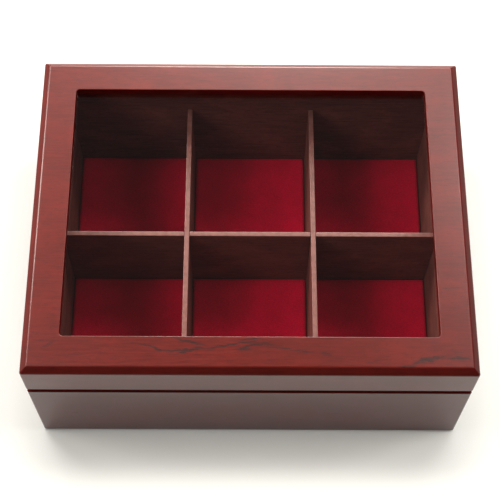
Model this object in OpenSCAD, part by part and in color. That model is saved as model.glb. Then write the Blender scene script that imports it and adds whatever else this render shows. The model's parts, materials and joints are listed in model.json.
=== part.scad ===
// Tea bag organizer box: a lacquered wooden box with six velvet-floored
// compartments under a hinged lid that holds a glass window.
// Lengths are in millimetres. X runs along the front, Y from front to back
// and Z up. The origin is the centre of the footprint, hinges included, on
// the surface that the felt feet stand on.

/* [Box] */
// Outside width, left to right
box_w = 230; // [200:1:280]
// Outside depth of the wooden walls, front to back
box_d = 184; // [160:1:230]
// Height of the base, from its lower edge to its rim
base_h = 67.7; // [55:0.1:90]
// Height of the closed lid above the rim of the base
lid_h = 25.7; // [20:0.1:36]
// Thickness of the wall boards
wall_t = 12.3; // [11:0.1:14]
// Radius of the upright outside corners
corner_r = 1.2; // [0.4:0.1:2.5]
// Radius of the roundover on the outer top edge of the base
rim_r = 3.6; // [1:0.1:5]
// Radius of the outer edge at the foot of the base and at the foot of the lid
edge_r = 0.9; // [0.2:0.1:1]

/* [Lid] */
// Thickness of the top panel, which is one sheet with the window cut in it
top_t = 4.1; // [3.5:0.1:6]
// Width of the chamfer round the top, seen from above
chamfer_w = 3.4; // [1:0.1:5]
// Height of the chamfer round the top, seen from the side
chamfer_h = 3.0; // [1:0.1:3.4]
// Width of the rail at the left and at the right of the window
rail_side = 19.0; // [16:0.1:30]
// Width of the rail behind the window
rail_back = 18.9; // [16:0.1:30]
// Width of the rail in front of the window
rail_front = 19.7; // [16:0.1:30]
// Radius of the window's corners
window_r = 2; // [1:0.1:6]
// Thickness of the glass pane
glass_t = 2; // [1.5:0.1:3]
// Width of the beads that hold the pane up
bead_w = 2.5; // [2.2:0.1:3.5]
// Height of the beads that hold the pane up
bead_h = 3.5; // [2.5:0.1:5]

/* [Inside] */
// Thickness of the dividers
divider_t = 2.7; // [2:0.1:4]
// Depth of the dividers' top edge below the rim of the base
divider_drop = 5.9; // [3:0.1:12]
// Thickness of the bottom panel
bottom_t = 3; // [2:0.1:4]
// Width of the rebate that the bottom panel sits in
rebate_w = 5; // [3:0.1:7]
// Thickness of the card inside each floor pad
card_t = 2.2; // [1:0.1:3]
// Thickness of the velvet that covers the card
velvet_t = 0.7; // [0.4:0.1:1]
// Gap between a floor pad and the walls of its compartment
pad_gap = 0.3; // [0.1:0.1:1]

/* [Hinges] */
// Distance from the middle of the box to the middle of each hinge
hinge_x = 68; // [40:1:80]
// Length of a hinge along the back
hinge_l = 24; // [18:1:34]
// Width of a leaf on the rim, from the back of the box inwards
leaf_w = 9.5; // [8:0.1:10]
// Thickness of a leaf
leaf_t = 1; // [0.8:0.1:1.4]
// How far the hinge pin's axis stands behind the back of the box
pin_reach = 0.6; // [0.5:0.1:1]
// How far the heels of the hinge reach behind the back of the box
heel_reach = 4; // [3.6:0.1:6]
// Radius of the hinge pin
pin_r = 1; // [0.8:0.1:1.1]
// Outside radius of the knuckles
knuckle_r = 2; // [1.8:0.1:2.2]
// Opening angle at which the heels meet and stop the lid
stop_angle = 95; // [90:1:110]

/* [Feet] */
// Radius of a felt foot
foot_r = 6; // [4:0.5:8]
// Thickness of a felt foot
foot_h = 1; // [0.5:0.1:3]
// Distance of a foot's centre from the two outside faces beside it
foot_inset = 12; // [9:0.5:20]

/* [Hidden] */
$fn = 48;

// Overlap that keeps a cut from ending on a face
eps = 0.1;

// Turns about Z that carry the front side onto each side
FRONT = 0;
LEFT = -90;
BACK = 180;
RIGHT = 90;

// Heights above the ground
rim_z = foot_h + base_h;
total_h = rim_z + lid_h;
panel_z = total_h - top_t;
glass_z = panel_z - glass_t;
floor_z = foot_h + bottom_t;
pad_h = card_t + velvet_t;

// Clear inside of the walls
inner_w = box_w - 2 * wall_t;
inner_d = box_d - 2 * wall_t;

// One compartment, and the step from one to the next
cell_w = (inner_w - 2 * divider_t) / 3;
cell_d = (inner_d - divider_t) / 2;
step_x = cell_w + divider_t;
step_y = cell_d + divider_t;
divider_h = rim_z - divider_drop - floor_z;

// Gaps of the fits
joint_gap = 0.15; // dividers in their slots and between the walls
glass_gap = 0.3; // pane inside the rim of the lid
bottom_gap = 0.2; // bottom panel in its rebate
pin_gap = 0.05; // pin in the knuckles
leaf_sink = 0.05; // leaf below the face that it is let into
knuckle_gap = 0.15; // knuckle beside and inside the other leaf
relief_gap = 0.3; // wood round the knuckles
mortise_gap = 0.1; // wood round a leaf
stop_gap = 0.1; // each heel short of the meeting plane

// Hinge
heel_angle = stop_angle / 2;
heel_t = leaf_t;
heel_r = (heel_reach - pin_reach + stop_gap * sin(heel_angle)) / cos(heel_angle);
heel_root = 1.3;
knuckle_l = (hinge_l - 2 * knuckle_gap) / 3;
pin_head_r = 1.5;
pin_head_h = 0.7;

// Countersunk screws of the hinges
screw_x = 7.5;
screw_in = 5;
screw_head_r = 1.75;
screw_shank_r = 0.85;
screw_l = 8;
screw_tip = 1.5;
screw_gap = 0.05;
slot_w = 0.5;
slot_h = 0.4;

// The hinges stand behind the wood, so the wood is set forward by half of that
wood_y = -heel_reach / 2;

WOOD = "#7c322b";
INSIDE_WOOD = "#5a2a22";
PANEL = "#6b4a35";
CARD = "#b9a88a";
VELVET = "#8a1226";
BRASS = "#c9a24a";
FELT = "#2b2422";
GLASS = [0.8, 0.86, 0.86, 0.35];

// ---------------------------------------------------------------- shapes

// Rectangle about the origin with round corners
module rounded_rect(w, d, r) {
    square([w - 2 * r, d], center = true);
    square([w, d - 2 * r], center = true);
    for (x = [-1, 1], y = [-1, 1])
        translate([x * (w / 2 - r), y * (d / 2 - r)])
            circle(r);
}

// What a radius r takes off the corner at the origin
module corner_waste(r) {
    difference() {
        translate([-eps, -eps])
            square(r + eps);
        translate([r, r])
            circle(r);
    }
}

// Board section: outer face on the Y axis, both outer corners eased
module eased(w, h, low_r, high_r) {
    difference() {
        square([w, h]);
        if (low_r > 0)
            corner_waste(low_r);
        if (high_r > 0)
            translate([0, h])
                mirror([0, 1])
                    corner_waste(high_r);
    }
}

// One side of a mitred frame whose outside measures length by 2 * reach,
// with the 2-D section given as its child, standing on z = 0
module mitred_side(turn, length, reach, thick, height, r) {
    rotate([0, 0, turn])
        intersection() {
            translate([0, -reach, 0])
                rotate([90, 0, 90])
                    linear_extrude(height = length, center = true)
                        children();
            translate([0, 0, -eps])
                linear_extrude(height = height + 2 * eps)
                    intersection() {
                        polygon([
                            [-length / 2, -reach],
                            [length / 2, -reach],
                            [length / 2 - thick, thick - reach],
                            [thick - length / 2, thick - reach]
                        ]);
                        rounded_rect(length, 2 * reach, r);
                    }
        }
}

// Length and reach of a frame's side for each turn
function side_length(turn, w, d) = (turn == FRONT || turn == BACK) ? w : d;
function side_reach(turn, w, d) = (turn == FRONT || turn == BACK) ? d / 2 : w / 2;

// ------------------------------------------------------------ base and lid

module base_section() {
    difference() {
        eased(wall_t, base_h, edge_r, rim_r);
        translate([wall_t - rebate_w, -eps])
            square([rebate_w + eps, bottom_t + eps]);
    }
}

module base_side(turn) {
    length = side_length(turn, box_w, box_d);
    reach = side_reach(turn, box_w, box_d);
    color(WOOD)
        translate([0, wood_y, foot_h])
            mitred_side(turn, length, reach, wall_t, base_h, corner_r)
                base_section();
}

module lid_side(turn) {
    length = side_length(turn, box_w, box_d);
    reach = side_reach(turn, box_w, box_d);
    height = lid_h - top_t;
    color(WOOD)
        translate([0, wood_y, rim_z])
            mitred_side(turn, length, reach, wall_t, height, corner_r)
                eased(wall_t, height, edge_r, 0);
}

// Top panel section across a width w, chamfered at both ends
module top_section(w) {
    polygon([
        [-w / 2, 0],
        [w / 2, 0],
        [w / 2, top_t - chamfer_h],
        [w / 2 - chamfer_w, top_t],
        [chamfer_w - w / 2, top_t],
        [-w / 2, top_t - chamfer_h]
    ]);
}

module lid_top() {
    window_w = box_w - 2 * rail_side;
    window_d = box_d - rail_front - rail_back;
    window_y = (rail_front - rail_back) / 2;
    color(WOOD)
        translate([0, wood_y, panel_z])
            difference() {
                intersection() {
                    rotate([90, 0, 90])
                        linear_extrude(height = box_w, center = true)
                            top_section(box_d);
                    rotate([90, 0, 0])
                        linear_extrude(height = box_d, center = true)
                            top_section(box_w);
                    translate([0, 0, -eps])
                        linear_extrude(height = top_t + 2 * eps)
                            rounded_rect(box_w, box_d, corner_r);
                }
                translate([0, window_y, -eps])
                    linear_extrude(height = top_t + 2 * eps)
                        rounded_rect(window_w, window_d, window_r);
            }
}

module glass_pane() {
    color(GLASS)
        translate([0, wood_y, glass_z + glass_t / 2])
            cube([inner_w - 2 * glass_gap, inner_d - 2 * glass_gap, glass_t], center = true);
}

// Strip under the edge of the pane, glued to the inside of the lid's rim
module bead(turn) {
    length = side_length(turn, inner_w, inner_d);
    reach = side_reach(turn, inner_w, inner_d);
    color(INSIDE_WOOD)
        translate([0, wood_y, glass_z - bead_h])
            mitred_side(turn, length, reach, bead_w, bead_h, eps)
                translate([bead_w, 0])
                    mirror([1, 0])
                        eased(bead_w, bead_h, bead_w - 0.5, 0);
}

// -------------------------------------------------------------- inside

module bottom_panel() {
    grow = 2 * (rebate_w - bottom_gap);
    color(PANEL)
        translate([0, wood_y, foot_h + bottom_t / 2])
            cube([inner_w + grow, inner_d + grow, bottom_t], center = true);
}

// Front-to-back divider, slotted from below at the crossing
module long_divider(side) {
    color(INSIDE_WOOD)
        translate([side * step_x / 2, wood_y, floor_z])
            difference() {
                translate([-divider_t / 2, joint_gap - inner_d / 2, 0])
                    cube([divider_t, inner_d - 2 * joint_gap, divider_h]);
                translate([-divider_t, -divider_t / 2 - joint_gap, -eps])
                    cube([2 * divider_t, divider_t + 2 * joint_gap, divider_h / 2 + eps]);
            }
}

// Left-to-right divider, slotted from above at both crossings
module divider_cross() {
    color(INSIDE_WOOD)
        translate([0, wood_y, floor_z])
            difference() {
                translate([joint_gap - inner_w / 2, -divider_t / 2, 0])
                    cube([inner_w - 2 * joint_gap, divider_t, divider_h]);
                for (side = [-1, 1])
                    translate([side * step_x / 2 - divider_t / 2 - joint_gap, -divider_t,
                               divider_h / 2 - joint_gap])
                        cube([divider_t + 2 * joint_gap, 2 * divider_t, divider_h]);
            }
}

// Puts its children on the floor of a compartment: column -1, 0 or 1, row -1 or 1
module in_cell(column, row) {
    translate([column * step_x, wood_y + row * step_y / 2, floor_z])
        children();
}

// Block that fills a compartment's floor, drawn in by inset on every side
module floor_block(inset, height) {
    w = cell_w - 2 * (pad_gap + inset);
    d = cell_d - 2 * (pad_gap + inset);
    translate([-w / 2, -d / 2, 0])
        cube([w, d, height]);
}

module floor_card(column, row) {
    color(CARD)
        in_cell(column, row)
            floor_block(velvet_t, card_t);
}

// Velvet over the top and down the edges of the card
module floor_velvet(column, row) {
    color(VELVET)
        in_cell(column, row)
            difference() {
                floor_block(0, pad_h);
                translate([0, 0, -eps])
                    floor_block(velvet_t, card_t + eps);
            }
}

// -------------------------------------------------------------- hinges

// Puts its children at the middle of a hinge pin
module at_pin(side) {
    translate([side * hinge_x, wood_y + box_d / 2 + pin_reach, rim_z])
        children();
}

// Cylinder along X about the pin's axis
module along_pin(r, length) {
    rotate([0, 90, 0])
        cylinder(r = r, h = length, center = true);
}

// The places of the middle knuckle and of the two outer ones
module at_knuckles(middle) {
    step = knuckle_l + knuckle_gap;
    for (i = middle ? [0] : [-1, 1])
        translate([i * step, 0, 0])
            children();
}

// Places of the two screws of a leaf, on the pin's level
module at_screws() {
    for (i = [-1, 1])
        translate([i * screw_x, -pin_reach - screw_in, 0])
            children();
}

// Leaf drawn as the lid's, above the pin's level: plate, knuckles and the
// heel behind the pin that meets the other leaf's heel at the stop angle
module leaf(middle) {
    reach = pin_reach + leaf_w;
    difference() {
        union() {
            translate([-hinge_l / 2, -reach, leaf_sink])
                cube([hinge_l, reach, leaf_t]);
            at_knuckles(middle)
                along_pin(knuckle_r, knuckle_l);
            rotate([heel_angle, 0, 0])
                translate([-hinge_l / 2, heel_root, stop_gap])
                    cube([hinge_l, heel_r - heel_root, heel_t]);
        }
        at_knuckles(!middle)
            along_pin(knuckle_r + knuckle_gap, knuckle_l + 2 * knuckle_gap);
        along_pin(pin_r + pin_gap, hinge_l + 2 * eps);
        at_screws()
            translate([0, 0, leaf_sink])
                cylinder(r1 = screw_head_r + screw_gap, r2 = screw_shank_r + screw_gap, h = leaf_t);
    }
}

module lid_leaf(side) {
    color(BRASS)
        at_pin(side)
            leaf(true);
}

module base_leaf(side) {
    color(BRASS)
        at_pin(side)
            mirror([0, 0, 1])
                leaf(false);
}

module hinge_pin(side) {
    color(BRASS)
        at_pin(side) {
            along_pin(pin_r, hinge_l + 2 * pin_head_h);
            for (i = [-1, 1])
                translate([i * (hinge_l + pin_head_h) / 2, 0, 0])
                    along_pin(pin_head_r, pin_head_h);
        }
}

// Screw driven upwards from the leaf's face, with a slot in its head
module screw() {
    difference() {
        union() {
            translate([0, 0, leaf_sink])
                cylinder(r1 = screw_head_r, r2 = screw_shank_r, h = leaf_t);
            translate([0, 0, leaf_sink + leaf_t])
                cylinder(r = screw_shank_r, h = screw_l - leaf_t - screw_tip);
            translate([0, 0, leaf_sink + screw_l - screw_tip])
                cylinder(r1 = screw_shank_r, r2 = slot_w / 4, h = screw_tip);
        }
        translate([0, 0, leaf_sink])
            cube([2 * screw_head_r + eps, slot_w, 2 * slot_h], center = true);
    }
}

module hinge_screws(up) {
    color(BRASS)
        for (side = [-1, 1])
            at_pin(side)
                mirror([0, 0, up ? 0 : 1])
                    at_screws()
                        screw();
}

// Room in the wood for both hinges, drawn above the pin's level as in the lid
module hinge_room() {
    depth = leaf_w + mortise_gap;
    for (side = [-1, 1])
        at_pin(side) {
            translate([-hinge_l / 2 - mortise_gap, -pin_reach - depth, -eps])
                cube([hinge_l + 2 * mortise_gap, depth + eps, leaf_sink + leaf_t + eps]);
            along_pin(knuckle_r + relief_gap, hinge_l + 2 * (pin_head_h + relief_gap));
            at_screws()
                cylinder(r = screw_shank_r + screw_gap, h = screw_l + relief_gap);
        }
}

// The same room, turned over about the pins' level for the base
module hinge_room_below() {
    translate([0, 0, rim_z])
        mirror([0, 0, 1])
            translate([0, 0, -rim_z])
                hinge_room();
}

module base_back() {
    color(WOOD)
        difference() {
            base_side(BACK);
            hinge_room_below();
        }
}

module lid_back() {
    color(WOOD)
        difference() {
            lid_side(BACK);
            hinge_room();
        }
}

// ---------------------------------------------------------------- feet

module foot(x, y) {
    color(FELT)
        translate([x * (box_w / 2 - foot_inset), wood_y + y * (box_d / 2 - foot_inset), 0])
            cylinder(r = foot_r, h = foot_h);
}

// ------------------------------------------------------------ assembly

base_side(FRONT);  // base_front
base_back();
base_side(LEFT);  // base_left
base_side(RIGHT);  // base_right
bottom_panel();
long_divider(-1);  // divider_left
long_divider(1);  // divider_right
divider_cross();
floor_card(-1, -1);  // floor_card_front_left
floor_card(0, -1);  // floor_card_front_middle
floor_card(1, -1);  // floor_card_front_right
floor_card(-1, 1);  // floor_card_back_left
floor_card(0, 1);  // floor_card_back_middle
floor_card(1, 1);  // floor_card_back_right
floor_velvet(-1, -1);  // floor_velvet_front_left
floor_velvet(0, -1);  // floor_velvet_front_middle
floor_velvet(1, -1);  // floor_velvet_front_right
floor_velvet(-1, 1);  // floor_velvet_back_left
floor_velvet(0, 1);  // floor_velvet_back_middle
floor_velvet(1, 1);  // floor_velvet_back_right
base_leaf(-1);  // hinge_left_base_leaf
base_leaf(1);  // hinge_right_base_leaf
lid_leaf(-1);  // hinge_left_lid_leaf
lid_leaf(1);  // hinge_right_lid_leaf
hinge_pin(-1);  // hinge_left_pin
hinge_pin(1);  // hinge_right_pin
hinge_screws(false);  // base_hinge_screws
hinge_screws(true);  // lid_hinge_screws
foot(-1, -1);  // foot_front_left
foot(1, -1);  // foot_front_right
foot(-1, 1);  // foot_back_left
foot(1, 1);  // foot_back_right
lid_top();
lid_side(FRONT);  // lid_front
lid_back();
lid_side(LEFT);  // lid_left
lid_side(RIGHT);  // lid_right
glass_pane();
bead(FRONT);  // bead_front
bead(BACK);  // bead_back
bead(LEFT);  // bead_left
bead(RIGHT);  // bead_right
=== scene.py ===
"""Looks of a lacquered cherry tea bag box with a windowed lid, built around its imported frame.

Lengths are in metres, and a name that ends in _mm holds millimetres. X runs along the front,
Y from front to back and Z up, as in the frame.
"""

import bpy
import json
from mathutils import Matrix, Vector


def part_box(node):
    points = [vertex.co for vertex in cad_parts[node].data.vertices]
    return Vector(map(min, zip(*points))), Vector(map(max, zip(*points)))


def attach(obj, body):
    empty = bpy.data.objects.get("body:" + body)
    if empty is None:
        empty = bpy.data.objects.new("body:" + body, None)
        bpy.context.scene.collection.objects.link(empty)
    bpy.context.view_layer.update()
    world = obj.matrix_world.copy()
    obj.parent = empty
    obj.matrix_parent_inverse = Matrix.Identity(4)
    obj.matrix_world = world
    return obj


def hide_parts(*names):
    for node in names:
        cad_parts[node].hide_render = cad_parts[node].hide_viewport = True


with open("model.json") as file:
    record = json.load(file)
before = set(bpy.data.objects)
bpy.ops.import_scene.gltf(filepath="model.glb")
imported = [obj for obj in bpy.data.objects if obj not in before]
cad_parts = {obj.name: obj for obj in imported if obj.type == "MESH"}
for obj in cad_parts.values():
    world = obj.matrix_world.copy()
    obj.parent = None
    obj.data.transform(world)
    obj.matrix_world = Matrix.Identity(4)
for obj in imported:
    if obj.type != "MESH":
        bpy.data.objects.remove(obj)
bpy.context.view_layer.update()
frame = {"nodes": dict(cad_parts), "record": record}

import json
import logging
import math
from dataclasses import dataclass, field
from enum import Enum
from typing import Any, Optional, Sequence

import bmesh
import bpy
from mathutils import Matrix, Vector, noise

LOG = logging.getLogger("tea_box")
MM = 0.001
MERGE = 0.001 * MM
EASED_FROM_DEG = 35
SHARP_FROM_DEG = 42
FACES_INWARD_FROM = 0.7

RECORD = frame["record"]
BODY_OF = {node: body for body, nodes in RECORD["behaviour"]["bodies"].items() for node in nodes}

Point2 = tuple[float, float]
Corner = tuple[float, float, float]
Piece = bpy.types.Object
Material = bpy.types.Material
Tree = bpy.types.NodeTree


# ------------------------------------------------------------------ names and choices


class Grain(Enum):
    """Direction that the wood grain runs in, as the turn in degrees about Z from X."""

    ACROSS = 0.0
    BACKWARDS = 90.0


class Side(Enum):
    """Sides of a four-sided frame, as the turn in degrees about Z that carries the front there."""

    FRONT = 0.0
    LEFT = -90.0
    BACK = 180.0
    RIGHT = 90.0

    @property
    def word(self) -> str:
        """The side's name in lower case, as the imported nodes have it."""
        return self.name.lower()

    @property
    def grain(self) -> Grain:
        """Grain of a board that runs along this side."""
        return Grain.ACROSS if self in (Side.FRONT, Side.BACK) else Grain.BACKWARDS


class Row(Enum):
    """Rows of compartments and feet, as the sign of their Y."""

    FRONT = -1
    BACK = 1


class Column(Enum):
    """Columns of compartments and feet, as the sign of their X."""

    LEFT = -1
    MIDDLE = 0
    RIGHT = 1


# ------------------------------------------------------------------ node trees


def linear(hex_colour: str) -> tuple[float, float, float, float]:
    """Turns an sRGB hex colour into the linear values that shaders use.

    Args:
        hex_colour: Colour such as "7c322b".

    Returns:
        Linear red, green, blue and an alpha of 1.
    """

    def channel(text: str) -> float:
        """Turns one pair of hex digits linear."""
        value = int(text, 16) / 255
        return value / 12.92 if value <= 0.04045 else ((value + 0.055) / 1.055) ** 2.4

    return (*(channel(hex_colour[i : i + 2]) for i in (0, 2, 4)), 1.0)


def add_node(tree: Tree, kind: str, inputs: Optional[dict] = None, **settings: Any) -> Any:
    """Adds a node to a tree, with its settings, values and links.

    Args:
        tree: Shader, world or geometry tree.
        kind: The node's class name.
        inputs: Socket names or numbers, each with a value, another node's output, or another
            node, which stands for its first output.
        settings: Properties of the node itself.

    Returns:
        The new node.
    """
    node = tree.nodes.new(kind)
    for name, value in settings.items():
        setattr(node, name, value)
    for socket, value in (inputs or {}).items():
        source = value.outputs[0] if isinstance(value, bpy.types.Node) else value
        if isinstance(source, bpy.types.NodeSocket):
            tree.links.new(source, node.inputs[socket])
        else:
            node.inputs[socket].default_value = source
    return node


def new_tree(name: str, inputs: dict[str, str], result: str) -> tuple[Tree, Any]:
    """Starts a Geometry Nodes tree.

    Args:
        name: Name of the tree.
        inputs: Kind of each named input, the geometry first.
        result: Name of the geometry that comes out.

    Returns:
        The tree, and the sockets of its inputs.
    """
    tree = bpy.data.node_groups.new(name, "GeometryNodeTree")
    for title, kind in inputs.items():
        tree.interface.new_socket(title, in_out="INPUT", socket_type=f"NodeSocket{kind}")
    tree.interface.new_socket(result, in_out="OUTPUT", socket_type="NodeSocketGeometry")
    return tree, add_node(tree, "NodeGroupInput").outputs


def end_tree(tree: Tree, shape: Any, material: Material) -> Tree:
    """Ends a Geometry Nodes tree with a plain mesh in one material.

    Args:
        tree: The tree.
        shape: What it made.
        material: Material of every face.

    Returns:
        The same tree.
    """
    real = add_node(tree, "GeometryNodeRealizeInstances", {0: shape})
    shown = add_node(tree, "GeometryNodeSetMaterial", {"Geometry": real, "Material": material})
    add_node(tree, "NodeGroupOutput", {0: shown})
    return tree


def grow(piece: Piece, tree: Tree, values: dict[str, Any]) -> Piece:
    """Runs a Geometry Nodes tree on a piece, and keeps the result as its mesh.

    Args:
        piece: Piece that the tree starts from.
        tree: The tree.
        values: Values of the tree's named inputs.

    Returns:
        The same piece, with a plain mesh.
    """
    modifier = piece.modifiers.new(tree.name, "NODES")
    modifier.node_group = tree
    for item in tree.interface.items_tree:
        if item.name in values:
            modifier[item.identifier] = values[item.name]
    return bake(piece)


# ------------------------------------------------------------------ meshes


def place_object(name: str, data: Any) -> Piece:
    """Adds an object to the scene.

    Args:
        name: Name of the object.
        data: Its mesh, lamp or camera.

    Returns:
        The object.
    """
    placed = bpy.data.objects.new(name, data)
    bpy.context.scene.collection.objects.link(placed)
    return placed


def clean_mesh(mesh: bpy.types.Mesh, flat_deg: float = 0.0) -> None:
    """Merges a mesh's doubled points and turns its faces outwards.

    Args:
        mesh: Mesh to change.
        flat_deg: Angle under which neighbouring faces are joined, or 0 to keep them all.
    """
    work = bmesh.new()
    work.from_mesh(mesh)
    bmesh.ops.remove_doubles(work, verts=work.verts, dist=MERGE)
    bmesh.ops.dissolve_degenerate(work, edges=work.edges, dist=MERGE)
    if flat_deg:
        flat = math.radians(flat_deg)
        bmesh.ops.dissolve_limit(work, angle_limit=flat, verts=work.verts, edges=work.edges)
    bmesh.ops.recalc_face_normals(work, faces=work.faces)
    work.to_mesh(mesh)
    work.free()


def new_piece(name: str, vertices: Sequence, faces: Sequence) -> Piece:
    """Makes a mesh object with merged points and outward faces.

    Args:
        name: Name of the piece.
        vertices: Points in metres.
        faces: Tuples of point numbers.

    Returns:
        The object, linked to the scene.
    """
    mesh = bpy.data.meshes.new(name)
    mesh.from_pydata([tuple(v) for v in vertices], [], faces)
    clean_mesh(mesh)
    return place_object(name, mesh)


def grid_faces(rows: int, columns: int, round_rows: bool = False, round_columns: bool = False) -> list:
    """Joins a grid of points, numbered row by row, with four-sided faces.

    Args:
        rows: Rows of points.
        columns: Points in a row.
        round_rows: Whether the last row joins the first.
        round_columns: Whether each row's last point joins its first.

    Returns:
        Tuples of point numbers.
    """
    faces = []
    for row in range(rows if round_rows else rows - 1):
        here, after = row * columns, (row + 1) % rows * columns
        for k in range(columns if round_columns else columns - 1):
            ahead = (k + 1) % columns
            faces.append((here + k, here + ahead, after + ahead, after + k))
    return faces


def bake(piece: Piece) -> Piece:
    """Applies a piece's modifiers to its mesh and removes them.

    Args:
        piece: Piece to change.

    Returns:
        The same piece.
    """
    bpy.context.view_layer.update()
    depsgraph = bpy.context.evaluated_depsgraph_get()
    mesh = bpy.data.meshes.new_from_object(
        piece.evaluated_get(depsgraph), preserve_all_data_layers=True, depsgraph=depsgraph
    )
    piece.modifiers.clear()
    piece.data = mesh
    return piece


def smooth(piece: Piece) -> None:
    """Shades every face of a piece smoothly."""
    for polygon in piece.data.polygons:
        polygon.use_smooth = True


def soften(piece: Piece, bevel_mm: float = 0.0, steps: int = 3) -> Piece:
    """Eases a piece's sharp edges and shades its roundings smoothly beside flat faces.

    Args:
        piece: Piece to finish.
        bevel_mm: Width of the easing, or 0 where the mesh already has it.
        steps: Faces across the easing.

    Returns:
        The same piece, with a plain mesh.
    """
    if bevel_mm:
        bevel = piece.modifiers.new("Eased edges", "BEVEL")
        bevel.width = bevel_mm * MM
        bevel.segments = steps
        bevel.limit_method = "ANGLE"
        bevel.angle_limit = math.radians(EASED_FROM_DEG)
        bake(piece)
    smooth(piece)
    piece.data.set_sharp_from_angle(angle=math.radians(SHARP_FROM_DEG))
    weighted = piece.modifiers.new("Flat faces lead", "WEIGHTED_NORMAL")
    weighted.keep_sharp = True
    return bake(piece)


def subtract(piece: Piece, cutter: Piece) -> None:
    """Takes one solid out of a piece, and removes the cutter.

    Args:
        piece: Piece to cut.
        cutter: Solid to take away.
    """
    cut = piece.modifiers.new("Cut", "BOOLEAN")
    cut.operation = "DIFFERENCE"
    cut.solver = "EXACT"
    cut.object = cutter
    bake(piece)
    bpy.data.objects.remove(cutter)


def stand_for(piece: Piece, node: str) -> Piece:
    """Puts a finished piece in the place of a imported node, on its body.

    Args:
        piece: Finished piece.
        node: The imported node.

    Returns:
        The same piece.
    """
    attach(piece, BODY_OF[node])
    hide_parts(node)
    LOG.info("%s stands for %s", piece.name, node)
    return piece


def dress(piece: Piece, *materials: Material) -> Piece:
    """Gives a piece its materials.

    Args:
        piece: Piece to dress.
        materials: Materials, in the order of the material slots.

    Returns:
        The same piece.
    """
    piece.data.materials.clear()
    for material in materials:
        piece.data.materials.append(material)
    return piece


def middle_of(node: str) -> Vector:
    """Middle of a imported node's box."""
    low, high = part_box(node)
    return (low + high) / 2


def round_corners(corners: Sequence[Corner], steps: int = 6, closed: bool = True) -> list[Point2]:
    """Draws an outline whose corners are arcs.

    Args:
        corners: Corner points, each with its radius as the third number.
        steps: Points along each arc, less one.
        closed: Whether the outline runs back to its first point.

    Returns:
        Points of the outline, in the corners' order.
    """
    points: list[Point2] = []
    count = len(corners)
    for i, (x, y, radius) in enumerate(corners):
        at_end = not closed and i in (0, count - 1)
        if radius <= 0 or at_end:
            points.append((x, y))
            continue
        here = Vector((x, y))
        back = (Vector(corners[i - 1][:2]) - here).normalized()
        ahead = (Vector(corners[(i + 1) % count][:2]) - here).normalized()
        half = back.angle(ahead) / 2
        centre = here + (back + ahead).normalized() * radius / math.sin(half)
        start = here + back * radius / math.tan(half) - centre
        turn = -start.angle_signed(here + ahead * radius / math.tan(half) - centre)
        for k in range(steps + 1):
            spoke = start.copy()
            spoke.rotate(Matrix.Rotation(turn * k / steps, 2))
            points.append(tuple(centre + spoke))
    return points


def lathe(name: str, profile: Sequence[Point2], around: int = 48) -> Piece:
    """Turns a profile about Z into a closed solid.

    Args:
        name: Name of the piece.
        profile: Radius and height of each point, from one pole to the other.
        around: Steps round the axis.

    Returns:
        The object, with its axis on Z.
    """
    vertices = []
    for radius, height in profile:
        for k in range(around):
            angle = 2 * math.pi * k / around
            vertices.append((radius * math.cos(angle), radius * math.sin(angle), height))
    return new_piece(name, vertices, grid_faces(len(profile), around, round_columns=True))


# ------------------------------------------------------------------ sizes


@dataclass(frozen=True)
class BoxSizes:
    """Sizes of the whole box: those the frame gives, and the few it doesn't, as named values."""

    corner_r: float = 1.2 * MM
    rim_bevel_w: float = 4.8 * MM
    rim_bevel_h: float = 4.2 * MM
    rim_r: float = 0.35 * MM
    back_rim_r: float = 3.6 * MM
    edge_r: float = 0.9 * MM
    lid_edge_r: float = 0.4 * MM
    inner_r: float = 0.5 * MM
    rail_side: float = 19.0 * MM
    rail_back: float = 18.9 * MM
    rail_front: float = 19.7 * MM
    window_r: float = 2.0 * MM
    chamfer_w: float = 3.4 * MM
    chamfer_h: float = 3.0 * MM
    rebate_w: float = 5.0 * MM
    divider_t: float = 2.7 * MM
    joint_gap: float = 0.15 * MM

    @property
    def width(self) -> float:
        """Outside width of the walls."""
        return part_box("base_right")[1].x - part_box("base_left")[0].x

    @property
    def depth(self) -> float:
        """Outside depth of the walls."""
        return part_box("base_back")[1].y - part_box("base_front")[0].y

    @property
    def middle_y(self) -> float:
        """Y of the middle of the walls."""
        return (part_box("base_back")[1].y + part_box("base_front")[0].y) / 2

    @property
    def wall_t(self) -> float:
        """Thickness of the wall boards."""
        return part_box("base_front")[1].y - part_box("base_front")[0].y

    @property
    def inner_w(self) -> float:
        """Clear width between the walls."""
        return self.width - 2 * self.wall_t

    @property
    def inner_d(self) -> float:
        """Clear depth between the walls."""
        return self.depth - 2 * self.wall_t


# ------------------------------------------------------------------ finishes


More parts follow.
